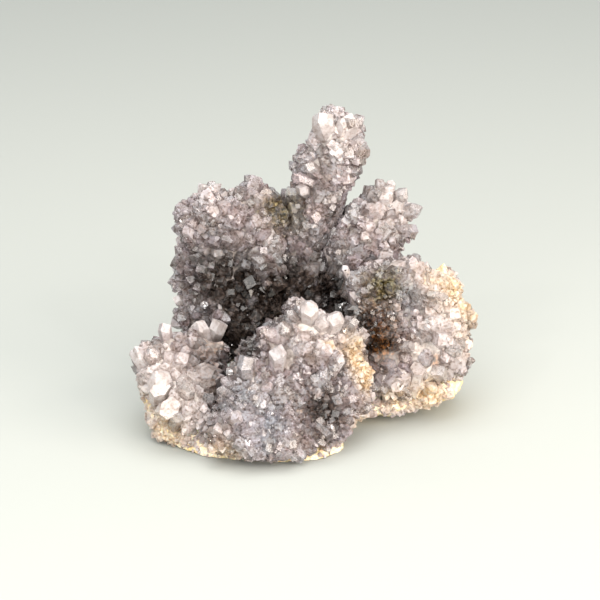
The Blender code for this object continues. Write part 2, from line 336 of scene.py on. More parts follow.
@dataclass(frozen=True)
class QuartzFinish:
    """Natural quartz crystal: clear to milky, with veils inside, smooth growth faces and iron stain.

    It gives the eye a pale grey-lilac body that light passes through, glints off flat glassy faces, brown or
    cream stain, and a grey-brown towards the roots that is partly stain and partly painted shade between the
    points.
    """

    name: str
    body: tuple[str, str, str, str]
    transmission: float
    roughness: float
    # Partly stain, partly painted shade: the grey-brown mixed in towards each crystal's root, darkest in the
    # valleys between the points
    root_stain_and_painted_shade: str = "#C6BBB5"
    root_reach: float = 0.85
    body_stops: Stops = (0.0, 0.35, 0.7, 1.0)
    stains: StainColours = StainColours()
    blotch_size: float = 1.6
    blotches: Shares = ((0.32, 0.45), (0.56, 1.0))
    refraction: float = 1.544
    veil: str = "#CBC2BC"
    faint_veil: str = "#F4F1F0"
    veil_size: float = 1.9
    veil_stops: Stops = (0.36, 0.52, 0.6)
    flaw: str = "#93847C"
    faint_flaw: str = "#F0E9E4"
    flaw_size: float = 0.5
    flaw_stops: Stops = (0.34, 0.45, 0.55)
    least_flawed: float = 0.25
    facet_size: float = 0.9
    facet_height: float = 0.16
    absorption_colour: str = "#E6DFDE"
    absorption_density: float = 30.0

    def build(self) -> Material:
        """Makes the material.

        Returns:
            The material, ready for a slot.
        """
        made, tree, shader = principled(self.name)
        colour = ramped(tree, trait(tree, Trait.TINT), list(zip(self.body_stops, self.body)))
        # Painted shade, partly stain: the colour turns towards the grey-brown near each root
        root = numbers(tree, "SUBTRACT", self.root_reach, trait(tree, Trait.RISE))
        colour = mixed(tree, colour, linear(self.root_stain_and_painted_shade), root)
        blotch = ramped(tree, cloud(tree, self.blotch_size, detail=4.0), self.blotches)
        colour = self.stains.over(tree, colour, blotch)
        veils = list(zip(self.veil_stops, (self.veil, self.faint_veil, 1.0)))
        colour = mixed(tree, colour, ramped(tree, cloud(tree, self.veil_size), veils), 1.0, "MULTIPLY")
        shades = list(zip(self.flaw_stops, (self.flaw, self.faint_flaw, 1.0)))
        flaws = ramped(tree, cloud(tree, self.flaw_size, detail=2.0), shades)
        flawed = numbers(tree, "MULTIPLY", trait(tree, Trait.GRAIN), 1.0 / DRUSE_GRAIN)
        flawed = numbers(tree, "ADD", flawed, self.least_flawed)
        colour = mixed(tree, colour, flaws, flawed, "MULTIPLY")
        tree.links.new(colour, shader.inputs["Base Color"])
        facets = add_node(
            tree,
            "ShaderNodeTexVoronoi",
            {"feature": "DISTANCE_TO_EDGE", "Scale": per(self.facet_size)},
            {"Vector": object_place(tree)},
        )
        bump = add_node(
            tree,
            "ShaderNodeBump",
            {"Distance": self.facet_height * MM},
            {"Height": facets.outputs["Distance"], "Strength": trait(tree, Trait.GRAIN)},
        )
        tree.links.new(bump.outputs["Normal"], shader.inputs["Normal"])
        shader.inputs["Roughness"].default_value = self.roughness
        shader.inputs["IOR"].default_value = self.refraction
        shader.inputs["Transmission Weight"].default_value = self.transmission
        absorption = {"Color": linear(self.absorption_colour), "Density": self.absorption_density}
        volume = add_node(tree, "ShaderNodeVolumeAbsorption", absorption)
        tree.links.new(volume.outputs["Volume"], tree.nodes["Material Output"].inputs["Volume"])
        return made


@dataclass(frozen=True)
class BedFinish:
    """The druse's own root zone: fine-grained quartz soaked with iron oxide.

    It gives the eye the dull grey-brown between and under the points, with rust and olive blotches.
    """

    name: str = "iron_stained_quartz_bed"
    pale: str = "#CCC1BB"
    middle: str = "#A0948E"
    dull: str = "#6B615C"
    stains: StainColours = StainColours(milk=("#C9BEB6", "#E2D9D2", "#EFE8E3"))
    shade_size: float = 1.6
    shade_stops: Stops = (0.34, 0.48, 0.62)
    blotch_size: float = 2.4
    blotches: Shares = ((0.3, 0.5), (0.55, 1.0))
    roughness: float = 0.55
    grains: Grains = Grains(size=0.7, shade=0.6, strength=0.6, height=0.25)

    def build(self) -> Material:
        """Makes the material.

        Returns:
            The material, ready for a slot.
        """
        made, tree, shader = principled(self.name)
        shades = list(zip(self.shade_stops, (self.dull, self.middle, self.pale)))
        colour = ramped(tree, cloud(tree, self.shade_size, detail=5.0, roughness=0.65), shades)
        blotch = ramped(tree, cloud(tree, self.blotch_size, detail=4.0), self.blotches)
        self.grains.on(tree, shader, self.stains.over(tree, colour, blotch))
        shader.inputs["Roughness"].default_value = self.roughness
        return made


@dataclass(frozen=True)
class RindFinish:
    """Chalcedony with limonite: waxy, fine-grained, cream to yellow and orange.

    It gives the eye a dull sugary crust in cream, with yellow and orange where iron has soaked in.
    """

    name: str = "limonitic_chalcedony"
    cream: str = "#EEDFC2"
    white: str = "#F3EADA"
    yellow: str = "#EACB8E"
    orange: str = "#DCA568"
    grey: str = "#C9BFB0"
    shade_size: float = 3.6
    shade_stops: Stops = (0.25, 0.45, 0.58, 0.72)
    grey_size: float = 1.8
    greys: Shares = ((0.55, 0.0), (0.75, 0.6))
    roughness: float = 0.5
    grains: Grains = Grains(size=0.55, shade=0.8, strength=0.9, height=0.3)
    glow: float = 0.15
    glow_depth: float = 1.0

    def build(self) -> Material:
        """Makes the material.

        Returns:
            The material, ready for a slot.
        """
        made, tree, shader = principled(self.name)
        shades = list(zip(self.shade_stops, (self.white, self.cream, self.yellow, self.orange)))
        colour = ramped(tree, cloud(tree, self.shade_size, detail=6.0, roughness=0.68), shades)
        greyed = ramped(tree, cloud(tree, self.grey_size, detail=4.0), self.greys)
        self.grains.on(tree, shader, mixed(tree, colour, linear(self.grey), greyed))
        shader.inputs["Roughness"].default_value = self.roughness
        shader.inputs["Subsurface Weight"].default_value = self.glow
        shader.inputs["Subsurface Scale"].default_value = self.glow_depth * MM
        return made


class Grade(Enum):
    """How clear a quartz point is, which picks its finish and its slot on a crust."""

    VEILED = 0
    CLEAR = 1
    MILKY = 2


QUARTZ_FINISHES = {
    Grade.VEILED: QuartzFinish(
        name="veiled_amethyst",
        body=("#D0C3BC", "#DFD3DC", "#DEE0E8", "#F1EBEA"),
        transmission=0.7,
        roughness=0.13,
    ),
    Grade.CLEAR: QuartzFinish(
        name="clear_quartz",
        body=("#E3D9D3", "#E8E0E8", "#E9EBF0", "#F4F0F0"),
        transmission=0.8,
        roughness=0.06,
        root_stain_and_painted_shade="#CFC4BE",
        absorption_density=15.0,
    ),
    Grade.MILKY: QuartzFinish(
        name="milky_quartz",
        body=("#D9D0CE", "#E2D9DF", "#E4E1E5", "#EBE6E7"),
        transmission=0.5,
        roughness=0.34,
        root_stain_and_painted_shade="#DED5D2",
        veil="#DAD3CF",
        flaw="#B8ADA6",
    ),
}


@dataclass(frozen=True)
class Patch:
    """A round region of the specimen, strongest at its middle and gone at its radius.

    An amount of less than 0 takes from the other patches around it.
    """

    place: Triple
    radius: float
    amount: float

    def eased(self, near: Any) -> Any:
        """The patch's amount at how near a place is, from 0 at the radius to 1: a number or an array."""
        return self.amount * near * near * (3.0 - 2.0 * near)

    def share(self, where: Vector) -> float:
        """How much of the patch is felt at a place."""
        return self.eased(max(0.0, 1.0 - (where - Vector(self.place)).length / self.radius))

    def shares(self, places: np.ndarray) -> np.ndarray:
        """How much of the patch is felt at many places."""
        far = np.linalg.norm(places - self.place, axis=1) / self.radius
        return self.eased(np.clip(1.0 - far, 0.0, 1.0))


# How wide the quartz's zones of colour are, and how much they differ
ZONE_SIZE = 3.2
ZONE_CONTRAST = 0.9


def zoned(where: Vector) -> float:
    """A number from 0 to 1 that drifts slowly from place to place, for zones of colour in the quartz."""
    return min(1.0, max(0.0, 0.5 + ZONE_CONTRAST * noise.noise(where / ZONE_SIZE)))


def felt(patches: Iterable[Patch], where: Vector) -> float:
    """The sum of all patches at a place, between 0 and 1."""
    return min(1.0, max(0.0, sum(patch.share(where) for patch in patches)))


# The strongest that a stain can be: above 1 it fills its own pale blotches
STRONGEST = 1.4

# How much nearer to the roots the seams between crystals count as than the corners beside them, which paints
# the seams with more of the roots' grey-brown, as painted shade between the crystals
SEAM_PAINTED_SHADE_DROP = 0.25

# Where each stain lies, the smoky one partly painted shade
STAINED = {
    # Milky white: the stalactites' tops, the left rim, the right mound's side, the ridge's crest
    Trait.MILK: [
        Patch((5.0, 14.5, 48.0), 10.0, 0.6),
        Patch((-25.0, -9.0, 11.0), 12.0, 1.2),
        Patch((-19.0, -14.0, 6.0), 7.0, 0.8),
        Patch((26.0, 1.0, 15.0), 12.0, 0.7),
        Patch((26.0, 4.0, 22.0), 8.0, 1.2),
        Patch((15.0, 7.4, 26.5), 6.0, 0.6),
        Patch((2.0, -7.2, 21.0), 8.5, 1.0),
        Patch((8.6, -7.6, 15.0), 5.0, 1.0),
        Patch((10.2, -8.8, 11.5), 4.0, 0.8),
        Patch((15.0, 12.0, 36.0), 9.0, 0.8),
        Patch((-15.0, 12.0, 37.0), 8.0, 0.4),
    ],
    # Bluish grey: the ridge's left and lower parts and a blotch beside the olive one on the right mound
    Trait.COOL: [
        Patch((17.5, 4.3, 21.5), 4.5, 0.9),
        Patch((-11.0, -16.5, 9.5), 7.0, 0.6),
        Patch((-5.5, -18.5, 7.0), 6.0, 0.7),
        Patch((-9.0, -21.0, 4.0), 6.0, 0.5),
        Patch((3.0, -13.5, 13.5), 5.0, 0.4),
    ],
    # Greenish brown: two blotches, one between the left stalactites and one on top of the right mound
    Trait.OLIVE: [
        Patch((-4.4, 11.5, 34.6), 6.5, 1.1),
        Patch((13.2, 3.5, 23.4), 6.0, 1.2),
        Patch((9.0, 1.0, 20.0), 4.0, 0.5),
    ],
    # Cream and orange: the lower edges, the ridge's right flank, the right mound's upper edge, two specks
    Trait.OCHRE: [
        Patch((7.7, -7.4, 17.0), 4.0, 1.0),
        Patch((10.1, -7.6, 14.0), 4.6, 1.3),
        Patch((10.8, -8.6, 10.6), 4.4, 1.1),
        Patch((24.0, 6.0, 23.3), 8.0, 0.8),
        Patch((28.6, 7.0, 21.0), 7.0, 1.6),
        Patch((28.6, 3.0, 15.0), 7.0, 0.5),
        Patch((21.2, -2.6, 5.2), 6.0, 1.4),
        Patch((15.0, -4.5, 5.2), 5.0, 1.2),
        Patch((-24.0, -12.5, 3.0), 6.5, 1.2),
        Patch((-28.5, -7.0, 6.0), 5.0, 0.8),
        Patch((-14.0, -19.5, 1.5), 6.5, 1.2),
        Patch((-6.8, -9.9, 20.1), 2.2, 0.5),
        Patch((3.9, -9.8, 17.9), 1.8, 1.5),
        Patch((-6.0, -23.5, 0.0), 4.0, 1.0),
        Patch((9.5, -9.5, 3.5), 4.5, 1.1),
    ],
    # Rust brown: the pit beside the right mound, the valley behind the left rim, the ridge's right foot
    # and a faint wash on two stalactites
    Trait.IRON: [
        Patch((11.6, -0.2, 17.3), 8.5, 1.05),
        Patch((12.6, -1.0, 13.6), 5.5, 0.6),
        Patch((-16.5, -3.0, 12.0), 7.0, 0.6),
        Patch((-13.0, -8.5, 12.0), 5.5, 0.6),
        Patch((22.0, -0.8, 11.7), 2.2, 0.9),
        Patch((3.0, -15.5, 8.0), 8.5, 0.6),
        Patch((-5.0, 11.0, 36.0), 7.0, 0.3),
        Patch((2.0, 12.0, 37.0), 6.0, 0.2),
    ],
    # Smoky grey-brown, partly a smoky stain and partly painted shade: the hollow, the walls around it and
    # the ridge's right foot, where shade falls, but not the two large points in front of the left wall
    Trait.SMOKE: [
        Patch((-3.0, 1.0, 10.0), 14.0, 1.4),
        Patch((-6.0, 6.8, 18.0), 13.5, 1.8),
        Patch((-9.5, 5.0, 15.0), 10.0, 1.3),
        Patch((-14.8, 0.4, 18.0), 4.6, -4.5),
        Patch((-18.6, 0.6, 18.0), 4.6, -3.0),
        Patch((2.4, 10.5, 22.0), 10.0, 0.85),
        Patch((6.8, 8.5, 18.5), 7.5, 0.9),
        Patch((-15.6, 6.5, 26.5), 10.0, 0.85),
        Patch((-18.0, 6.0, 21.0), 10.0, 0.45),
        Patch((-2.0, 9.5, 30.0), 6.5, 0.35),
        Patch((9.0, 2.5, 17.5), 4.0, 0.6),
        Patch((-10.0, -8.6, 17.4), 4.6, 1.2),
        Patch((3.5, -15.5, 8.0), 6.5, 1.0),
    ],
}


@dataclass
class QuartzPoint:
    """One crystal: where it stands, which way it points and how big it is."""

    foot: Vector
    axis: Vector
    width: float
    length: float
    spin: float
    shape: int
    tint: float
    grade: Grade = Grade.VEILED
    grain: float = DRUSE_GRAIN

    def tip(self) -> Vector:
        """Where the crystal ends, in millimetres."""
        return self.foot + self.axis * self.length

    def corners(self, shapes: Sequence["Shape"]) -> np.ndarray:
        """The crystal's corners in millimetres."""
        turn = self.axis.to_track_quat("Z", "Y").to_matrix() @ Matrix.Rotation(self.spin, 3, "Z")
        return shapes[self.shape].corners @ np.array(turn).T * self.width + np.array(self.tip())


@dataclass
class Shape:
    """A crystal shape as arrays: one unit wide, its tip at the origin and its root below."""

    corners: np.ndarray
    rise: np.ndarray
    loops: np.ndarray
    face_sizes: np.ndarray


@dataclass
class CrystalHabit:
    """The shapes that the quartz points take: a hexagonal prism under two unlike sets of three faces."""

    shapes: int = 28
    seed: int = 3
    cap_slope: float = 51.8
    height: float = 1.7
    spare: float = 0.5
    root_radius: float = 0.42
    radius: float = 0.5
    squash: tuple[float, float] = (0.76, 1.26)
    minor_lift: tuple[float, float] = (0.0, 0.3)
    tip_wander: float = 0.08

    def build(self) -> list[Shape]:
        """Makes all shapes.

        Returns:
            The shapes, in a fixed order.
        """
        chance = random.Random(self.seed)
        return [self._shape(chance) for _ in range(self.shapes)]

    def _shape(self, chance: random.Random) -> Shape:
        """Cuts one prism by its six cap faces.

        Args:
            chance: The source of the small differences between shapes.

        Returns:
            The shape as arrays.
        """
        bm = bmesh.new()
        bmesh.ops.create_cone(
            bm,
            cap_ends=True,
            segments=6,
            radius1=self.root_radius,
            radius2=self.radius,
            depth=self.height + self.spare,
            matrix=Matrix.Translation((0.0, 0.0, (self.spare - self.height) / 2)),
        )
        stretch = (chance.uniform(*self.squash), chance.uniform(*self.squash), 1.0)
        bmesh.ops.scale(bm, vec=stretch, verts=bm.verts)
        slope = math.radians(self.cap_slope)
        lift = chance.uniform(*self.minor_lift)
        for side in range(6):
            around = math.radians(60 * side + 30)
            rise = (lift if side % 2 else 0.0) + chance.uniform(0.0, self.tip_wander)
            flat = Vector((math.cos(around), math.sin(around), 0.0)) * math.sin(slope)
            self._cut(bm, Vector((0.0, 0.0, rise)), flat + Vector((0.0, 0.0, math.cos(slope))))
        bmesh.ops.recalc_face_normals(bm, faces=bm.faces)
        bm.verts.index_update()
        corners = np.array([vert.co[:] for vert in bm.verts])
        corners[:, 2] -= corners[:, 2].max()
        loops = np.array([vert.index for face in bm.faces for vert in face.verts], dtype=np.int32)
        face_sizes = np.array([len(face.verts) for face in bm.faces], dtype=np.int32)
        bm.free()
        return Shape(corners, 1.0 + corners[:, 2] / self.height, loops, face_sizes)

    def _cut(self, bm: BMesh, place: Vector, way: Vector) -> None:
        """Cuts off what lies beyond a plane and closes the cut with one face.

        Args:
            bm: The crystal to cut.
            place: A place on the plane.
            way: The plane's outward normal.
        """
        whole = [*bm.verts, *bm.edges, *bm.faces]
        cut = bmesh.ops.bisect_plane(
            bm, geom=whole, dist=WELD, plane_co=place, plane_no=way, clear_outer=True
        )
        edges = [item for item in cut["geom_cut"] if isinstance(item, BMEdge)]
        if edges:
            bmesh.ops.edgeloop_fill(bm, edges=edges)


def object_from(data: ID, name: str) -> Object:
    """Makes a linked object at the origin.

    Args:
        data: The mesh, camera or light that it holds.
        name: Its name.

    Returns:
        The new object.
    """
    obj = bpy.data.objects.new(name, data)
    bpy.context.scene.collection.objects.link(obj)
    return obj


def aimed(data: ID, name: str, place: Vector, way: Vector) -> Object:
    """Adds a camera or a light that looks one way.

    Args:
        data: The camera or light.
        name: The new object's name.
        place: Where it stands, in millimetres.
        way: Where it looks, from there.

    Returns:
        The new object.
    """
    obj = object_from(data, name)
    obj.location = place * MM
    obj.rotation_mode = "QUATERNION"
    obj.rotation_quaternion = way.to_track_quat("-Z", "Y")
    return obj


@contextmanager
def reshaping(obj: Object) -> Iterator[BMesh]:
    """Opens an object's mesh as a bmesh with fresh normals, and writes it back at the end.

    Args:
        obj: The object.

    Yields:
        The bmesh.
    """
    bm = bmesh.new()
    bm.from_mesh(obj.data)
    bm.normal_update()
    yield bm
    bm.to_mesh(obj.data)
    bm.free()


def settle(obj: Object) -> None:
    """Turns an object's modifiers into its mesh.

    Args:
        obj: The object.
    """
    bpy.context.view_layer.update()
    graph = bpy.context.evaluated_depsgraph_get()
    mesh = bpy.data.meshes.new_from_object(obj.evaluated_get(graph))
    obj.modifiers.clear()
    obj.data = mesh


def discard(obj: Object) -> None:
    """Removes a helper object and its mesh.

    Args:
        obj: The object.
    """
    mesh = obj.data
    bpy.data.objects.remove(obj, do_unlink=True)
    bpy.data.meshes.remove(mesh)


def merged_mesh(node: Object) -> BMesh:
    """Reads a mesh and joins its loose triangles.

    Args:
        node: The object that holds the mesh.

    Returns:
        The mesh as a bmesh.
    """
    bm = bmesh.new()
    bm.from_mesh(node.data)
    bmesh.ops.remove_doubles(bm, verts=bm.verts, dist=WELD)
    return bm


def islands(bm: BMesh) -> list[list[BMVert]]:
    """Sorts the corners of a mesh by its connected parts.

    Args:
        bm: The mesh.

    Returns:
        One list of corners for each part.
    """
    seen: set[BMVert] = set()
    found = []
    for start in bm.verts:
        if start in seen:
            continue
        seen.add(start)
        island = [start]
        for vert in island:
            fresh = [edge.other_vert(vert) for edge in vert.link_edges]
            fresh = [other for other in fresh if other not in seen]
            seen.update(fresh)
            island.extend(fresh)
        found.append(island)
    return found


def lump_from(node: Object, name: str, voxel: float, rounds: int, sink: float) -> Object:
    """Makes a smooth lump, without loose crumbs, out of a node of the frame, whose own mesh stays as it is.

    Args:
        node: The node to follow.
        name: The new object's name.
        voxel: The new mesh's grain in millimetres.
        rounds: How many times the lump is smoothed.
        sink: How far its skin is pulled in, in millimetres.

    Returns:
        The lump as a new object.
    """
    bm = merged_mesh(node)
    mesh = bpy.data.meshes.new(name)
    bm.to_mesh(mesh)
    bm.free()
    obj = object_from(mesh, name)
    melt = obj.modifiers.new("Melt", "REMESH")
    melt.mode = "VOXEL"
    melt.voxel_size = voxel * MM
    settle(obj)
    with reshaping(obj) as bm:
        crumbs = sorted(islands(bm), key=len)[:-1]
        bmesh.ops.delete(bm, geom=[vert for crumb in crumbs for vert in crumb], context="VERTS")
        for _ in range(rounds):
            bmesh.ops.smooth_vert(
                bm, verts=bm.verts, factor=0.5, use_axis_x=True, use_axis_y=True, use_axis_z=True
            )
        bmesh.ops.recalc_face_normals(bm, faces=bm.faces)
    obj.data.shade_smooth()
    pull_in(obj, sink)
    return obj


def pull_in(obj: Object, depth: float) -> None:
    """Pulls an object's skin inwards.

    Args:
        obj: The object.
        depth: How far each point of the skin moves, in millimetres.
    """
    with reshaping(obj) as bm:
        places = [vert.co - vert.normal * depth * MM for vert in bm.verts]
        for vert, place in zip(bm.verts, places):
            vert.co = place


def tree_of(obj: Object) -> BVHTree:
    """Makes a search tree of an object's skin.

    Args:
        obj: The object.

    Returns:
        The tree, in metres.
    """
    bm = merged_mesh(obj)
    tree = BVHTree.FromBMesh(bm)
    bm.free()
    return tree


# How squarely the way to the nearest skin has to run against its normal, for a place behind the skin
SQUARELY = 0.7


def within(tree: BVHTree, place: Vector, margin: float) -> bool:
    """Whether a place lies inside a closed skin or nearer to it than a margin, in metres."""
    nearest, normal, _, distance = tree.find_nearest(place)
    return distance < margin or (place - nearest).dot(normal) < -SQUARELY * distance


def corner_values(mesh: Mesh, kind: str) -> np.ndarray:
    """Reads a value of three parts for each corner of a mesh.

    Args:
        mesh: The mesh.
        kind: The value's name, such as co or normal.

    Returns:
        One row for each corner.
    """
    values = np.empty(len(mesh.vertices) * 3)
    mesh.vertices.foreach_get(kind, values)
    return values.reshape(-1, 3)


@dataclass
class Scatter:
    """Places on a skin that keep a spacing, found by throwing darts at it.

    Those taken are kept in a grid whose cells are wider than the widest spacing.
    """

    obj: Object
    seed: int
    taken: dict[tuple[int, int, int], list[tuple[Vector, float]]] = field(default_factory=dict)
    cell: float = 6.0

    def _key(self, place: Vector) -> tuple[int, int, int]:
        """The grid cell that a place falls in."""
        return tuple(math.floor(value / self.cell) for value in place)

    def take(self, place: Vector, radius: float) -> None:
        """Marks a place in millimetres as used, out to a radius."""
        self.taken.setdefault(self._key(place), []).append((place, radius))

    def free(self, place: Vector, radius: float) -> bool:
        """Checks that a new place keeps clear of those taken.

        Args:
            place: The new place, in millimetres.
            radius: The radius that it needs.

        Returns:
            Whether it does.
        """
        x, y, z = self._key(place)
        for i in (x - 1, x, x + 1):
            for j in (y - 1, y, y + 1):
                for k in (z - 1, z, z + 1):
                    for other, size in self.taken.get((i, j, k), ()):
                        if (place - other).length < 0.5 * (radius + size):
                            return False
        return True

    def darts(self, tries: int) -> Iterable[tuple[Vector, Vector]]:
        """Random places on the skin in millimetres, each with its smooth normal.

        Args:
            tries: How many places to give.

        Yields:
            Pairs of place and normal.
        """
        mesh = self.obj.data
        mesh.calc_loop_triangles()
        count = len(mesh.loop_triangles)
        corners = np.empty(count * 3, dtype=np.int32)
        areas = np.empty(count)
        mesh.loop_triangles.foreach_get("vertices", corners)
        mesh.loop_triangles.foreach_get("area", areas)
        places = corner_values(mesh, "co") / MM
        normals = corner_values(mesh, "normal")
        chance = np.random.default_rng(self.seed)
        picked = corners.reshape(-1, 3)[chance.choice(count, size=tries, p=areas / areas.sum())]
        shares = np.sort(chance.random((tries, 2)), axis=1)
        weights = np.stack([shares[:, 0], shares[:, 1] - shares[:, 0], 1.0 - shares[:, 1]], axis=1)
        spots = np.einsum("ij,ijk->ik", weights, places[picked])
        ways = np.einsum("ij,ijk->ik", weights, normals[picked])
        for spot, way in zip(spots, ways):
            yield Vector(spot), Vector(way).normalized()


def write_trait(mesh: Mesh, kind: Trait, values: np.ndarray) -> None:
    """Writes one trait on a mesh, over the one that it has."""
    attribute = mesh.attributes.get(kind.value) or mesh.attributes.new(kind.value, "FLOAT", "POINT")
    attribute.data.foreach_set("value", values.astype(np.float32))


def read_trait(mesh: Mesh, kind: Trait) -> np.ndarray:
    """Reads one trait of a mesh.

    Args:
        mesh: The mesh.
        kind: The trait.

    Returns:
        The trait's value for each corner.
    """
    values = np.empty(len(mesh.vertices), dtype=np.float32)
    mesh.attributes[kind.value].data.foreach_get("value", values)
    return values


def stain(mesh: Mesh) -> None:
    """Writes on a mesh how much of each stain it has from place to place, the smoky one partly painted
    shade.

    Args:
        mesh: The mesh.
    """
    places = corner_values(mesh, "co") / MM
    for kind in STAINS:
        total = sum(patch.shares(places) for patch in STAINED[kind])
        write_trait(mesh, kind, np.clip(total, 0.0, STRONGEST))


def fill_seams(mesh: Mesh) -> None:
    """Gives the seams between crystals, whose corners a union leaves bare, their neighbours' traits.

    Args:
        mesh: The crust.
    """
    edges = np.empty(len(mesh.edges) * 2, dtype=np.int32)
    mesh.edges.foreach_get("vertices", edges)
    edges = edges.reshape(-1, 2)
    links = np.concatenate([edges, edges[:, ::-1]])
    traits = {kind: read_trait(mesh, kind) for kind in CARRIED}
    known = traits[Trait.GRAIN] > 0.0
    seams = ~known
    while not known.all():
        source, target = links[known[links[:, 0]] & ~known[links[:, 1]]].T
        hits = np.bincount(target, minlength=len(known))
        fresh = hits > 0
        if not fresh.any():
            break
        for values in traits.values():
            total = np.bincount(target, weights=values[source], minlength=len(known))
            values[fresh] = total[fresh] / hits[fresh]
        known |= fresh
    # Painted shade: the seams count as nearer the roots, so they take more of the roots' grey-brown
    traits[Trait.RISE][seams] -= SEAM_PAINTED_SHADE_DROP
    for kind, values in traits.items():
        write_trait(mesh, kind, values)


def mesh_of(points: Sequence[QuartzPoint], shapes: Sequence[Shape], name: str) -> Mesh:
    """Joins crystals into one mesh, with their traits and the slot of each one's grade.

    Args:
        points: The crystals.
        shapes: The shapes that they pick from.
        name: The mesh's name.

    Returns:
        The joined mesh, in metres.
    """
    corners, loops, sizes, slots = [], [], [], []
    traits: dict[Trait, list[np.ndarray]] = {kind: [] for kind in CARRIED}
    start = 0
    for point in points:
        shape = shapes[point.shape]
        corners.append(point.corners(shapes) * MM)
        loops.append(shape.loops + start)
        sizes.append(shape.face_sizes)
        traits[Trait.RISE].append(shape.rise)
        count = len(shape.corners)
        traits[Trait.TINT].append(np.full(count, point.tint))
        traits[Trait.GRAIN].append(np.full(count, point.grain))
        slots.append(np.full(len(shape.face_sizes), point.grade.value))
        start += count
    mesh = bpy.data.meshes.new(name)
    all_loops = np.concatenate(loops)
    all_sizes = np.concatenate(sizes)
    mesh.vertices.add(start)
    mesh.vertices.foreach_set("co", np.concatenate(corners).ravel())
    mesh.loops.add(len(all_loops))
    mesh.loops.foreach_set("vertex_index", all_loops)
    mesh.polygons.add(len(all_sizes))
    mesh.polygons.foreach_set("loop_start", np.concatenate([[0], np.cumsum(all_sizes)[:-1]]))
    mesh.polygons.foreach_set("material_index", np.concatenate(slots))
    mesh.update(calc_edges=True)
    for kind, values in traits.items():
        write_trait(mesh, kind, np.concatenate(values))
    return mesh


# How far a crystal reaches sideways from its axis, as a share of its width
GIRTH = 0.6


def in_groups(points: Sequence[QuartzPoint], height: float) -> list[list[QuartzPoint]]:
    """Sorts crystals into groups in which no two can touch, so that each group is a clean solid.

    Args:
        points: The crystals.
        height: How tall each one is from root to tip, as a share of its width.

    Returns:
        The groups.
    """
    groups: list[list[tuple[Vector, float]]] = []
    members: list[list[QuartzPoint]] = []
    for point in points:
        middle = point.tip() - point.axis * point.width * height / 2
        reach = math.hypot(height / 2, GIRTH) * point.width
        for spheres, group in zip(groups, members):
            if all((middle - other).length > reach + size for other, size in spheres):
                spheres.append((middle, reach))
                group.append(point)
                break
        else:
            groups.append([(middle, reach)])
            members.append([point])
    return members


def fused(
    points: Sequence[QuartzPoint],
    shapes: Sequence[Shape],
    name: str,
    height: float,
    slots: Sequence[Material],
) -> Object:
    """Joins crystals that grow through each other into one closed crust.

    Args:
        points: The crystals.
        shapes: The shapes that they pick from.
        name: The crust's name.
        height: How tall each one is from root to tip, as a share of its width.
        slots: The quartz materials, one for each grade in order.

    Returns:
        The crust.
    """
    crust: Object | None = None
    for group in in_groups(points, height):
        mesh = mesh_of(group, shapes, name)
        for material in slots:
            mesh.materials.append(material)
        if crust is None:
            crust = object_from(mesh, name)
            continue
        helper = object_from(mesh, "group")
        union = crust.modifiers.new("Union", "BOOLEAN")
        union.operation = "UNION"
        union.solver = "MANIFOLD"
        union.object = helper
        settle(crust)
        discard(helper)
    fill_seams(crust.data)
    stain(crust.data)
    return crust


@dataclass
class LargePoint:
    """A crystal that stands out: where it shows on the solid, which way it points and how far it juts."""

    place: Triple
    axis: Triple
    width: float
    jut: float
    grade: Grade = Grade.VEILED


@dataclass
class Growth:
    """One round of crystals, whose sizes are shares of the lobe's spacing or of their own width."""

    spacing: float
    tries: int
    widths: tuple[float, float]
    lengths: tuple[float, float]


# The druse, then the small crystals that fill its gaps
GROWTHS = (
    Growth(spacing=0.94, tries=16000, widths=(1.15, 2.0), lengths=(0.22, 0.52)),
    Growth(spacing=0.5, tries=22000, widths=(0.55, 1.2), lengths=(0.3, 0.7)),
)

# A large point's length from where it would stand on a bed, and the room that it takes there, as shares of
# its width, and between which tints it lies
LARGE_LENGTH = 0.8
LARGE_ROOM = 1.1
LARGE_TINTS = (0.4, 1.0)

# How unevenly the druse's points lean, and how much of their tint comes from the zone that they grow in
LEAN_SPREAD = 0.6
ZONED_SHARE = 0.65

# How much milk and cream stain add to the share of milky crystals
MILK_PULL = 0.8

# How far under the bed's skin a crystal has to be rooted, before and after the bed is pulled in: the first
# in millimetres, the second as a share of the pull
ROOT_DEPTH = 0.3
ROOT_SHARE = 0.4

# The sizes at which a crystal near the box's edge is tried
SHRINK_STEPS = (1.0, 0.75, 0.55, 0.4)

# Where lobes meet, the points turn away from the specimen's core and so close the seam between them
CORE = Vector((0.0, 15.0, 14.0))
SEAM_REACH = 2.0
SEAM_LEAN = 1.3
LOBE_GAP = 0.1


@dataclass(frozen=True)
class Companions:
    """The smaller crystals that grow nearly parallel to one and out of its shoulder.

    Their places and sizes are shares of that crystal's own.
    """

    counts: tuple[int, ...] = (0, 0, 1, 2)
    least_width: float = 1.2
    lean: float = 0.1
    offsets: tuple[float, float] = (0.26, 0.42)
    widths: tuple[float, float] = (0.4, 0.66)
    lengths: tuple[float, float] = (0.6, 0.9)
    twist: float = 0.1
    likeness: float = 0.7

    def of(self, point: QuartzPoint, shapes: int, chance: random.Random) -> list[QuartzPoint]:
        """Draws the companions of a crystal.

        Args:
            point: The crystal that they grow from.
            shapes: How many crystal shapes there are.
            chance: The source of their places and sizes.

        Returns:
            The companions, which can be none.
        """
        found = []
        across = point.axis.orthogonal().normalized()
        for _ in range(chance.choice(self.counts) if point.width > self.least_width else 0):
            around = Matrix.Rotation(chance.uniform(0, math.tau), 3, point.axis)
            lean = Vector([chance.gauss(0, self.lean) for _ in range(3)])
            found.append(
                QuartzPoint(
                    point.foot + around @ across * point.width * chance.uniform(*self.offsets),
                    (point.axis + lean).normalized(),
                    point.width * chance.uniform(*self.widths),
                    point.length * chance.uniform(*self.lengths),
                    point.spin + chance.gauss(0, self.twist),
                    chance.randrange(shapes),
                    point.tint * self.likeness + chance.random() * (1.0 - self.likeness),
                    point.grade,
                )
            )
        return found


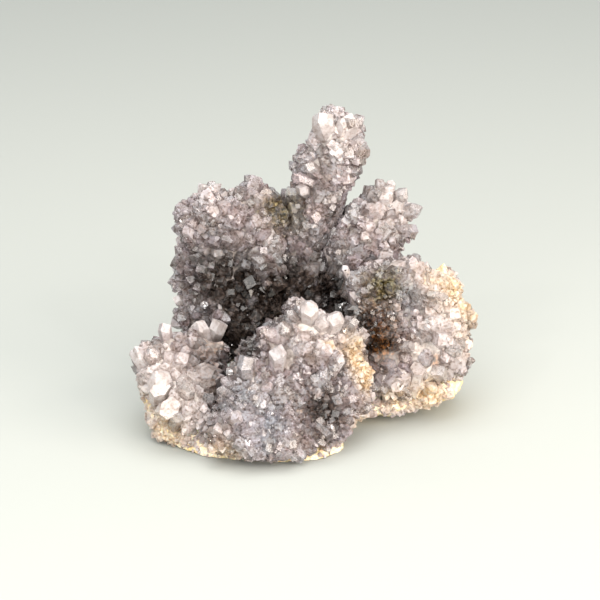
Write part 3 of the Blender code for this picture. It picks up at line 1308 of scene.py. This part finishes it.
@dataclass
class Lobe:
    """One lobe of the specimen: a stained bed and the druse of quartz points on it."""

    node: str
    spacing: float
    seed: int
    large_points: list[LargePoint] = field(default_factory=list)
    coarse: list[Patch] = field(default_factory=list)
    fine: list[Patch] = field(default_factory=list)
    regions: list[Patch] = field(default_factory=list)
    milky_share: float = 0.15
    clear_share: float = 0.25
    bed_voxel: float = 0.8
    smoothing: int = 8
    sink: float = 0.35
    recess: float = 0.55
    tilt: float = 26.0
    largest: float = 0.8
    smallest: float = 0.4
    companions: Companions = Companions()

    def bed(self, frame_nodes: dict[str, Object]) -> Object:
        """Makes the lobe's bed from its node of the frame."""
        name = self.node + "_bed"
        return lump_from(frame_nodes[self.node], name, self.bed_voxel, self.smoothing, self.sink)

    def scale_at(self, where: Vector) -> float:
        """How much larger or smaller than usual the crystals are at a place."""
        return 1.0 + felt(self.coarse, where) * self.largest - felt(self.fine, where) * self.smallest

    def crystals(
        self, bed: Object, neighbours: Sequence[BVHTree], shapes: Sequence[Shape], box: tuple[Vector, Vector]
    ) -> list[QuartzPoint]:
        """Finds where the lobe's crystals stand: the large ones, then the druse, then the fill.

        Args:
            bed: The bed that they grow from.
            neighbours: The skins of the other beds, inside which nothing grows.
            shapes: The shapes that the crystals take.
            box: The lowest and highest corner that the crystals stay in, in millimetres.

        Returns:
            The crystals.
        """
        chance = random.Random(self.seed)
        skin = tree_of(bed)
        scatter = Scatter(bed, self.seed)
        points: list[QuartzPoint] = []
        for large in self.large_points:
            axis = Vector(large.axis).normalized()
            length = large.width * LARGE_LENGTH
            foot = Vector(large.place) + axis * (large.jut - length)
            scatter.take(skin.find_nearest(foot * MM)[0] / MM, large.width * LARGE_ROOM)
            points.append(
                QuartzPoint(
                    foot,
                    axis,
                    large.width,
                    length,
                    chance.uniform(0, math.tau),
                    chance.randrange(len(shapes)),
                    chance.uniform(*LARGE_TINTS),
                    large.grade,
                    LARGE_GRAIN,
                )
            )
        for growth in GROWTHS:
            for place, normal in scatter.darts(growth.tries):
                spacing = self.spacing * growth.spacing * self.scale_at(place)
                if not scatter.free(place, spacing):
                    continue
                if self.regions and felt(self.regions, place) < chance.random():
                    continue
                if any(within(tree, place * MM, LOBE_GAP * MM) for tree in neighbours):
                    continue
                scatter.take(place, spacing)
                lean = Vector([chance.gauss(0, LEAN_SPREAD) for _ in range(3)])
                lean *= math.sin(math.radians(self.tilt))
                width = spacing / growth.spacing * chance.uniform(*growth.widths)
                if any(tree.find_nearest(place * MM)[3] < SEAM_REACH * MM for tree in neighbours):
                    lean += (place - CORE).normalized() * SEAM_LEAN
                point = QuartzPoint(
                    place,
                    (normal + lean).normalized(),
                    width,
                    width * chance.uniform(*growth.lengths),
                    chance.uniform(0, math.tau),
                    chance.randrange(len(shapes)),
                    ZONED_SHARE * zoned(place) + (1.0 - ZONED_SHARE) * chance.random(),
                    self._grade(chance, place),
                )
                if self._rooted(point, skin):
                    points.append(point)
        for point in list(points):
            companions = self.companions.of(point, len(shapes), chance)
            points.extend(small for small in companions if self._rooted(small, skin))
        fitted = (self._fitted(point, shapes, box) for point in points)
        return [point for point in fitted if point]

    def _rooted(self, point: QuartzPoint, skin: BVHTree) -> bool:
        """Checks that a crystal's root is deep enough in the bed, which is pulled in later.

        Args:
            point: The crystal.
            skin: The skin of the bed.

        Returns:
            Whether it is.
        """
        root = (point.foot - point.axis * (self.recess + ROOT_DEPTH)) * MM
        nearest, normal, _, distance = skin.find_nearest(root)
        deep = distance > ROOT_SHARE * self.recess * MM
        return deep and (root - nearest).dot(normal) < -SQUARELY * distance

    def _fitted(
        self, point: QuartzPoint, shapes: Sequence[Shape], box: tuple[Vector, Vector]
    ) -> QuartzPoint | None:
        """Shrinks a crystal until it stays in the box.

        Args:
            point: The crystal.
            shapes: The shapes that the crystals take.
            box: The lowest and highest corner, in millimetres.

        Returns:
            The crystal, or none where it can't fit.
        """
        low, high = np.array(box)
        for share in SHRINK_STEPS:
            smaller = replace(point, width=point.width * share, length=point.length * share)
            corners = smaller.corners(shapes)
            if (corners > low).all() and (corners < high).all():
                return smaller
        return None

    def _grade(self, chance: random.Random, place: Vector) -> Grade:
        """Draws how clear a crystal is, with more milky ones where milk or cream stains them.

        Args:
            chance: The source of the draw.
            place: Where the crystal stands, in millimetres.

        Returns:
            The crystal's grade.
        """
        roll = chance.random()
        pale = felt(STAINED[Trait.MILK], place) + felt(STAINED[Trait.OCHRE], place)
        milky = self.milky_share + MILK_PULL * pale
        if roll < milky:
            return Grade.MILKY
        return Grade.CLEAR if roll < milky + self.clear_share else Grade.VEILED


LOBES = [
    Lobe(
        "tall_stalactite",
        spacing=1.75,
        seed=101,
        fine=[Patch((5.0, 17.5, 50.3), 6.0, 4.0)],
        large_points=[
            LargePoint((2.7, 15.0, 49.9), (-0.3, -0.3, 1.0), 4.3, 1.5, Grade.MILKY),
            LargePoint((7.4, 15.4, 49.7), (0.25, -0.3, 1.0), 4.3, 1.5, Grade.MILKY),
            LargePoint((9.6, 14.1, 46.1), (1.0, -0.4, 0.5), 2.6, 0.7),
            LargePoint((0.6, 11.6, 42.4), (-0.8, -0.9, 0.9), 2.6, 1.2),
            LargePoint((-0.9, 12.4, 40.0), (-1.0, -0.2, 0.5), 3.0, 1.8),
            LargePoint((-0.8, 10.8, 38.6), (-0.4, -1.0, 0.6), 2.4, 0.9, Grade.MILKY),
            LargePoint((-2.4, 12.4, 37.6), (-0.7, -0.6, 1.0), 2.6, 1.4),
        ],
    ),
    Lobe(
        "left_stalactite",
        spacing=1.8,
        seed=103,
        large_points=[LargePoint((-22.6, 10.5, 18.6), (-0.9, -0.3, 0.5), 2.8, 0.8, Grade.MILKY)],
    ),
    Lobe(
        "middle_stalactite",
        spacing=1.8,
        seed=107,
        large_points=[
            LargePoint((12.6, 14.0, 39.0), (-0.3, -0.3, 1.0), 2.2, 0.7),
            LargePoint((17.0, 13.2, 37.6), (0.6, -0.3, 1.0), 2.6, 0.8, Grade.CLEAR),
            LargePoint((19.7, 12.7, 34.6), (1.0, -0.3, 0.5), 2.8, 0.6),
            LargePoint((18.7, 12.2, 30.6), (1.0, -0.4, 0.0), 2.6, 0.9),
        ],
    ),
    Lobe(
        "right_mound",
        spacing=1.75,
        seed=109,
        coarse=[Patch((21.0, -2.4, 10.5), 8.5, 1.0)],
        fine=[Patch((11.8, -0.4, 16.6), 7.5, 2.2), Patch((13.0, 3.5, 23.0), 5.5, 1.6)],
        large_points=[
            LargePoint((6.3, 4.5, 27.0), (-0.45, -0.2, 1.0), 2.0, 0.0, Grade.MILKY),
            LargePoint((22.4, 1.9, 22.4), (1.0, -0.35, -0.05), 2.1, 2.0),
            LargePoint((17.5, -2.3, 14.7), (-0.1, -1.0, 0.3), 2.8, 1.1),
            LargePoint((20.2, -1.6, 11.6), (0.05, -1.0, 0.3), 4.6, 1.3),
            LargePoint((25.9, -1.1, 14.0), (0.5, -1.0, 0.3), 3.4, 1.1),
            LargePoint((23.0, -2.6, 9.8), (0.2, -1.0, 0.1), 3.2, 1.1),
            LargePoint((14.0, -2.4, 11.2), (-0.2, -1.0, 0.3), 3.6, 1.1),
            LargePoint((11.9, -1.7, 12.6), (-0.3, -1.0, 0.4), 1.8, 1.3, Grade.MILKY),
            LargePoint((21.2, -2.4, 6.7), (0.1, -1.0, 0.1), 3.2, 0.9, Grade.MILKY),
        ],
    ),
    Lobe(
        "front_ridge",
        spacing=1.45,
        seed=113,
        milky_share=0.05,
        clear_share=0.3,
        fine=[Patch((0.0, -16.0, 7.0), 8.0, 0.4), Patch((10.0, -7.6, 13.6), 6.0, 1.3)],
        large_points=[
            LargePoint((0.5, -7.4, 23.3), (0.0, -0.65, 0.9), 4.7, 2.4, Grade.MILKY),
            LargePoint((-2.3, -6.8, 22.0), (-0.7, -0.4, 0.8), 1.9, 1.6, Grade.CLEAR),
            LargePoint((4.8, -6.8, 20.9), (0.3, -0.6, 1.0), 3.6, 2.6, Grade.MILKY),
            LargePoint((2.7, -7.6, 21.2), (0.1, -0.8, 0.8), 2.6, 1.2, Grade.MILKY),
            LargePoint((7.4, -6.0, 19.4), (0.3, -0.3, 1.0), 2.0, 2.6, Grade.CLEAR),
            LargePoint((6.4, -6.4, 20.2), (0.5, -0.5, 1.0), 1.8, 2.4),
            LargePoint((-5.8, -9.7, 19.6), (-0.9, -0.4, 0.6), 3.6, 1.6),
            LargePoint((-4.0, -8.6, 20.4), (-0.2, -0.5, 1.0), 3.0, 1.6),
            LargePoint((-4.7, -12.2, 16.2), (0.0, -0.6, 1.0), 3.3, 3.4, Grade.MILKY),
            LargePoint((-9.9, -13.2, 15.0), (-0.1, -0.65, 1.0), 3.5, 3.4),
            LargePoint((-1.5, -12.2, 17.8), (-0.2, -0.8, 0.7), 2.0, 1.5, Grade.CLEAR),
            LargePoint((-13.0, -13.4, 12.3), (-0.8, -0.3, 0.8), 2.4, 1.8, Grade.CLEAR),
            LargePoint((-13.7, -14.8, 11.4), (-0.8, -0.4, 0.6), 1.8, 1.5, Grade.CLEAR),
            LargePoint((11.0, -7.3, 7.5), (0.2, -1.0, 0.2), 1.9, 0.7, Grade.MILKY),
        ],
    ),
    Lobe(
        "left_rim",
        spacing=2.0,
        seed=127,
        milky_share=0.35,
        large_points=[
            LargePoint((-28.6, -4.9, 15.0), (-0.5, -0.3, 1.0), 3.4, 0.9, Grade.MILKY),
            LargePoint((-26.2, -6.0, 15.1), (-0.1, -0.5, 1.0), 3.2, 1.1),
            LargePoint((-24.8, -10.6, 12.4), (-0.3, -0.6, 1.0), 4.6, 1.8, Grade.MILKY),
            LargePoint((-20.0, -13.3, 12.0), (0.05, -0.7, 1.0), 4.4, 1.2),
            LargePoint((-27.2, -7.8, 9.2), (-0.8, -0.6, 0.2), 2.6, 0.9, Grade.MILKY),
            LargePoint((-24.2, -12.9, 7.4), (-0.4, -0.9, 0.2), 3.4, 0.9, Grade.MILKY),
            LargePoint((-21.4, -13.9, 6.8), (0.2, -0.7, 0.8), 3.4, 1.6),
            LargePoint((-16.1, -12.0, 9.0), (-0.2, -0.9, 0.8), 2.4, 1.4, Grade.CLEAR),
            LargePoint((-18.6, 0.6, 17.8), (-0.35, -0.35, 1.0), 3.8, 0.6, Grade.MILKY),
            LargePoint((-14.8, 0.4, 17.7), (0.3, -0.8, 0.9), 4.2, 0.8, Grade.MILKY),
            LargePoint((-24.2, -1.0, 18.0), (-0.15, -0.3, 1.0), 3.2, 0.7, Grade.MILKY),
        ],
    ),
    Lobe("hollow_crust", spacing=1.7, seed=131, sink=0.1, smoothing=6),
]


# The small stained points along the rind's edge, where it shows under and beside the lobes
RIND_EDGE = Lobe(
    "rind_edge",
    spacing=1.3,
    seed=137,
    milky_share=0.7,
    clear_share=0.1,
    regions=[
        Patch((-24.0, -12.0, 6.0), 9.0, 3.0),
        Patch((-17.0, -17.0, 5.0), 8.0, 4.0),
        Patch((-10.0, -21.0, 4.0), 6.0, 3.0),
        Patch((-25.0, -12.0, 3.0), 6.0, 3.0),
        Patch((4.0, -14.5, 1.5), 6.0, 1.6),
        Patch((13.0, -7.0, 3.0), 6.0, 1.2),
        Patch((19.0, -4.0, 5.5), 8.0, 1.2),
        Patch((28.0, 6.0, 22.0), 9.0, 2.0),
    ],
)


@dataclass
class Druse:
    """All lobes of quartz: their beds and their crusts."""

    lobes: list[Lobe]
    finishes: list[Material]
    habit: CrystalHabit = field(default_factory=CrystalHabit)
    box_margin: float = 0.6
    ground: float = 0.05
    headroom: float = 0.3

    def __post_init__(self) -> None:
        """Makes the crystal shapes and notes the box that the crystals stay in."""
        self.shapes = self.habit.build()
        low, high = [Vector(corner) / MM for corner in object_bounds()]
        margin = Vector([self.box_margin] * 3)
        self.box = (low - margin, high + margin)
        self.box[0].z = self.ground
        self.box[1].z = high.z - self.headroom

    def crust_on(self, lobe: Lobe, bed: Object, neighbours: Sequence[BVHTree]) -> Object:
        """Grows the crystals of a lobe as one crust.

        Args:
            lobe: The lobe.
            bed: What its crystals grow from.
            neighbours: The skins of the other solids, inside which nothing grows.

        Returns:
            The crust.
        """
        points = lobe.crystals(bed, neighbours, self.shapes, self.box)
        crust = fused(points, self.shapes, lobe.node + "_druse", self.habit.height, self.finishes)
        crust.data.shade_flat()
        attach(crust, "root")
        log.info("%s: %d crystals, %d faces", crust.name, len(points), len(crust.data.polygons))
        return crust

    def build(self, nodes: dict[str, Object], bed_finish: Material) -> None:
        """Makes and dresses every lobe.

        Args:
            nodes: The frame's nodes by name.
            bed_finish: The beds' material.
        """
        beds = [lobe.bed(nodes) for lobe in self.lobes]
        trees = [tree_of(nodes[lobe.node]) for lobe in self.lobes]
        for index, (lobe, bed) in enumerate(zip(self.lobes, beds)):
            others = trees[:index] + trees[index + 1 :]
            crust = self.crust_on(lobe, bed, others)
            pull_in(bed, lobe.recess)
            stain(bed.data)
            bed.data.materials.append(bed_finish)
            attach(bed, "root")
            for piece in (bed, crust):
                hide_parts(lobe.node)


@dataclass
class Rind:
    """The chalcedony rind under and behind the druse, with its knobs and the small points on its edge."""

    druse: Druse
    voxel: float = 0.5
    smoothing: int = 5
    sink: float = 0.1
    knob: float = 0.45
    knob_size: float = 2.2
    knob_steepness: float = 2.0
    knob_level: float = 0.6
    grit: float = 0.16
    grit_size: float = 0.8
    flat_foot: float = 0.1

    def build(self, nodes: dict[str, Object], finish: Material) -> None:
        """Makes and dresses the rind.

        Args:
            nodes: The frame's nodes by name.
            finish: The rind's material.
        """
        node = nodes["chalcedony_rind"]
        rind = lump_from(node, "knobbly_rind", self.voxel, self.smoothing, self.sink)
        with reshaping(rind) as bm:
            moves = [vert.normal * self._relief(vert.co / MM) * MM for vert in bm.verts]
            for vert, move in zip(bm.verts, moves):
                vert.co += move * min(1.0, max(0.0, vert.co.z / MM - self.flat_foot))
                vert.co.z = max(0.0, vert.co.z)
        rind.data.materials.append(finish)
        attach(rind, "root")
        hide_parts("chalcedony_rind")
        log.info("%s: %d faces", rind.name, len(rind.data.polygons))
        others = [tree_of(nodes[lobe.node]) for lobe in self.druse.lobes]
        self.druse.crust_on(RIND_EDGE, rind, others)

    def _relief(self, where: Vector) -> float:
        """Works out how far the skin stands out at a place.

        Args:
            where: The place, in millimetres.

        Returns:
            The distance, in millimetres.
        """
        knobs = abs(noise.noise(where / self.knob_size)) * self.knob_steepness - self.knob_level
        grit = noise.noise(where / self.grit_size)
        return self.knob * knobs + self.grit * grit


@dataclass(frozen=True)
class SoftLight:
    """A square light that faces the specimen, its size in millimetres and its energy in watts."""

    name: str
    place: Triple
    size: float
    energy: float
    colour: str = "#FFFBF6"


LIGHTS = (
    SoftLight("overhead_softbox", (-30.0, -20.0, 420.0), 420.0, 1.7),
    SoftLight("front_softbox", (-30.0, -440.0, 230.0), 520.0, 3.1),
    SoftLight("right_softbox", (390.0, -280.0, 130.0), 460.0, 4.7, "#FFF3E6"),
    SoftLight("left_lamp", (-230.0, -260.0, 330.0), 36.0, 0.22),
    SoftLight("right_lamp", (210.0, -330.0, 300.0), 36.0, 0.22),
)


@dataclass
class Studio:
    """The plain pale floor, the soft lights and the camera."""

    target: Triple = (-1.03, -1.26, 22.8)
    distance: float = 450.0
    elevation: float = 20.0
    lens: float = 159.3
    sensor: float = 36.0
    nearest: float = 10.0
    lit_middle: Triple = (0.0, 0.0, 20.0)
    sky_colour: str = "#E8ECEC"
    sky_strength: float = 1.0
    floor_size: float = 4000.0
    floor_colour: str = "#A5A8A4"
    floor_roughness: float = 0.8

    def build(self) -> None:
        """Makes floor, camera, lights and world."""
        self._floor()
        self._camera()
        for light in LIGHTS:
            self._light(light)
        world = bpy.data.worlds.new("studio")
        bpy.context.scene.world = world
        world.use_nodes = True
        sky = world.node_tree.nodes["Background"]
        sky.inputs["Color"].default_value = linear(self.sky_colour)
        sky.inputs["Strength"].default_value = self.sky_strength
        bpy.context.scene.view_settings.view_transform = "Standard"

    def _floor(self) -> None:
        """Makes the pale floor, which isn't part of the object."""
        floor = object_from(bpy.data.meshes.new("floor"), "floor")
        with reshaping(floor) as bm:
            bmesh.ops.create_grid(bm, x_segments=1, y_segments=1, size=self.floor_size / 2 * MM)
        made, _, shader = principled("matt_white_board")
        shader.inputs["Base Color"].default_value = linear(self.floor_colour)
        shader.inputs["Roughness"].default_value = self.floor_roughness
        floor.data.materials.append(made)
        floor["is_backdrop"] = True

    def _camera(self) -> None:
        """Places the camera in front, a little above."""
        rise = math.radians(self.elevation)
        back = Vector((0.0, -math.cos(rise), math.sin(rise)))
        place = Vector(self.target) + back * self.distance
        camera = aimed(bpy.data.cameras.new("camera"), "camera", place, -back)
        camera.data.lens = self.lens
        camera.data.sensor_width = self.sensor
        camera.data.clip_start = self.nearest * MM
        bpy.context.scene.camera = camera

    def _light(self, light: SoftLight) -> None:
        """Adds one light.

        Args:
            light: The light's name, place, size, energy and colour.
        """
        data = bpy.data.lights.new(light.name, "AREA")
        data.energy = light.energy
        data.color = linear(light.colour)[:3]
        data.size = light.size * MM
        place = Vector(light.place)
        aimed(data, light.name, place, Vector(self.lit_middle) - place)


def main() -> None:
    """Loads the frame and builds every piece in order."""
    logging.basicConfig(level=logging.INFO, format="%(message)s")
    noise.seed_set(NOISE_SEED)
    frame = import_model()
    cad_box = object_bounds()
    nodes = frame["nodes"]
    finishes = {grade: finish.build() for grade, finish in QUARTZ_FINISHES.items()}
    druse = Druse(LOBES, [finishes[grade] for grade in Grade])
    druse.build(nodes, BedFinish().build())
    Rind(druse).build(nodes, RindFinish().build())
    Studio().build()
    boxes = {"cad": cad_box, "visual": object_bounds()}
    plain = {name: [list(corner) for corner in box] for name, box in boxes.items()}


if __name__ == "__main__":
    main()
